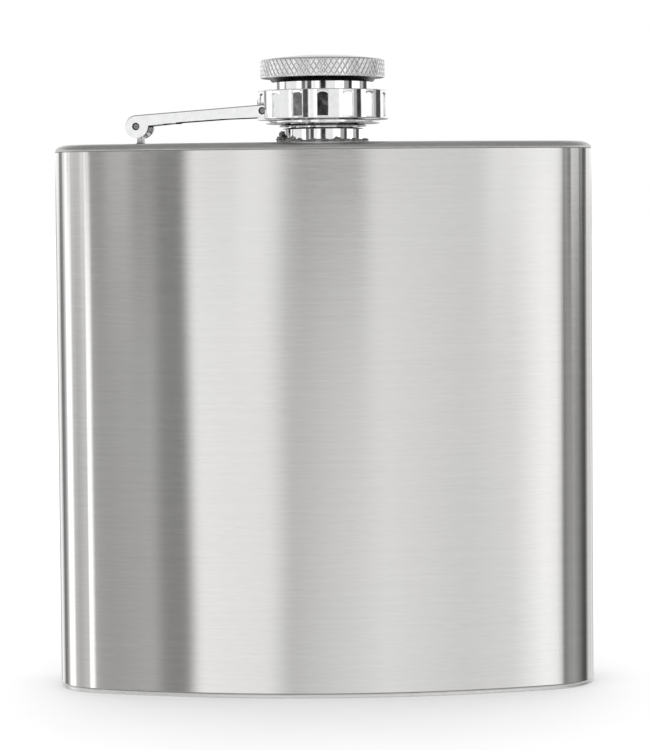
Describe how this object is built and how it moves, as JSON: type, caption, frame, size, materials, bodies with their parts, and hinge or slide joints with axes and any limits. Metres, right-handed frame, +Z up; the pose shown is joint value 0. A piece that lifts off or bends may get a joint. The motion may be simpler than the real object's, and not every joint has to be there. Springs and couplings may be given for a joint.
{
  "type": "hip flask",
  "caption": "Curved stainless steel pocket flask with a knurled screw cap kept captive by a collar on a hinged arm.",
  "frame": {"origin": "on the ground, at the middle of the width and the depth of the whole object", "axes": "+X across the flask, away from the arm's bracket; +Y towards the concave back; +Z up along the neck's axis"},
  "size_m": [0.0944, 0.0286, 0.1107],
  "materials": {
    "body_steel": "fine horizontal brushing",
    "bright_chrome": "mirror polish",
    "knurled_metal": "satin, diamond knurled",
    "weld_metal": "rough, heat darkened",
    "seal": "matte"
  },
  "bodies": {
    "flask": {"body_shell": "body_steel", "top_plate": "body_steel", "bottom_plate": "body_steel", "neck": "bright_chrome", "neck_weld": "weld_metal", "hinge_bracket": "bright_chrome", "bracket_weld": "weld_metal", "bracket_pin": "bright_chrome"},
    "arm": {"arm": "bright_chrome", "collar_pin": "bright_chrome"},
    "collar": {"collar": "bright_chrome"},
    "cap": {"cap_head": "knurled_metal", "cap_sleeve": "bright_chrome", "retaining_washer": "bright_chrome", "cap_gasket": "seal"}
  },
  "joints": [
    {"name": "arm_swing", "type": "hinge", "parent": "flask", "child": "arm", "pos_m": [-0.0323, 0.00181, 0.09865], "axis": [-0.1431, -0.9897, 0], "range_deg": [0, 175]},
    {"name": "collar_pivot", "type": "hinge", "parent": "arm", "child": "collar", "pos_m": [-0.01009, -0.0014, 0.1011], "axis": [-0.1431, -0.9897, 0], "range_deg": [0, 8]},
    {"name": "cap_spin", "type": "hinge", "parent": "collar", "child": "cap", "pos_m": [0, -0.00286, 0.1], "axis": [0, 0, 1], "continuous": true}
  ]
}
